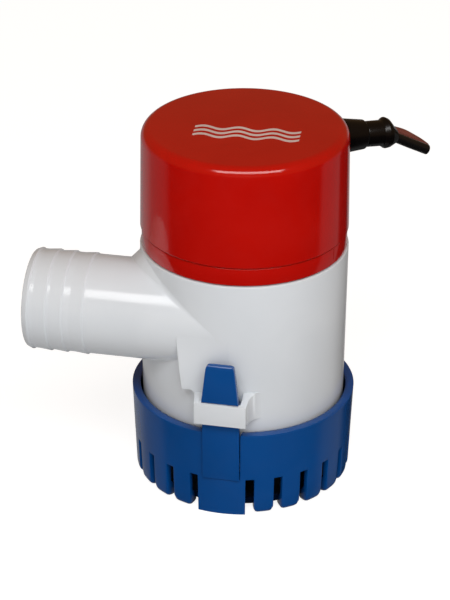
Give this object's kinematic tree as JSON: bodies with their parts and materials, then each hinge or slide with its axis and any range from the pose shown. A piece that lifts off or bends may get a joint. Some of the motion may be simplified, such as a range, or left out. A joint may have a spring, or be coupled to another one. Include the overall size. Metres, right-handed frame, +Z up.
{
  "type": "bilge pump",
  "caption": "Submersible bilge pump: slotted strainer base with two latches, white body with a tangential hose outlet, sealed motor under a red cap, and bare-ended leads from a side gland.",
  "frame": {"origin": "on the pump's axis, on the flat foot under the strainer's floor that rests on the hull", "axes": "+Z up along the pump's axis, the hose outlet points along -X, the front latch is at -Y and the rear latch at +Y"},
  "size_m": [0.108, 0.0725, 0.1094],
  "materials": {
    "blue_plastic": "moulded polypropylene, satin",
    "white_plastic": "moulded ABS, semi-gloss",
    "impeller_plastic": "moulded acetal, satin",
    "red_plastic": "moulded ABS, gloss",
    "black_plastic": "moulded nylon, satin",
    "black_rubber": "moulded rubber, matt",
    "stainless_steel": "ground",
    "plated_steel": "zinc plated",
    "laminated_steel": "stamped laminations, lacquered",
    "ferrite": "sintered, matt",
    "copper": "enamelled wire and bare segments",
    "sintered_bronze": "oil-filled, matt",
    "brass": "stamped strip",
    "carbon": "pressed carbon, matt",
    "brown_insulation": "extruded PVC, satin",
    "black_insulation": "extruded PVC, satin"
  },
  "bodies": {
    "strainer": {"strainer_base": "blue_plastic"},
    "front_latch": {"latch_front": "blue_plastic"},
    "rear_latch": {"latch_rear": "blue_plastic"},
    "pump": {"pump_body": "white_plastic", "inlet_cover": "white_plastic", "motor_housing": "red_plastic", "housing_seal": "black_rubber", "shaft_seal": "black_rubber", "seal_retainer": "stainless_steel", "motor_can": "plated_steel", "magnet_left": "ferrite", "magnet_right": "ferrite", "lower_bearing": "sintered_bronze", "upper_bearing": "sintered_bronze", "end_bell": "black_plastic", "brush_left": "carbon", "brush_right": "carbon", "brush_spring_left": "brass", "brush_spring_right": "brass", "terminal_left": "brass", "terminal_right": "brass", "motor_cap": "red_plastic", "gland_body": "black_plastic", "gland_nut": "black_plastic", "gland_boot": "black_rubber", "lead_brown": "brown_insulation", "lead_black": "black_insulation"},
    "rotor": {"impeller": "impeller_plastic", "motor_shaft": "stainless_steel", "armature_core": "laminated_steel", "armature_windings": "copper", "commutator": "copper", "thrust_washer": "impeller_plastic"}
  },
  "joints": [
    {"name": "pump_lift", "type": "slide", "parent": "strainer", "child": "pump", "axis": [0, 0, 1], "range_m": [0, 0.045], "deforming": ["latch_front", "latch_rear"]},
    {"name": "rotor_spin", "type": "hinge", "parent": "pump", "child": "rotor", "pos_m": [0, 0, 0.05], "axis": [0, 0, 1], "continuous": true},
    {"name": "latch_front_press", "type": "hinge", "parent": "strainer", "child": "front_latch", "pos_m": [0, -0.0317, 0.0125], "axis": [-1, 0, 0], "range_deg": [0, 3.2], "stiffness_Nm_per_rad": 0.6},
    {"name": "latch_rear_press", "type": "hinge", "parent": "strainer", "child": "rear_latch", "pos_m": [0, 0.0317, 0.0125], "axis": [1, 0, 0], "range_deg": [0, 3.2], "stiffness_Nm_per_rad": 0.6}
  ]
}
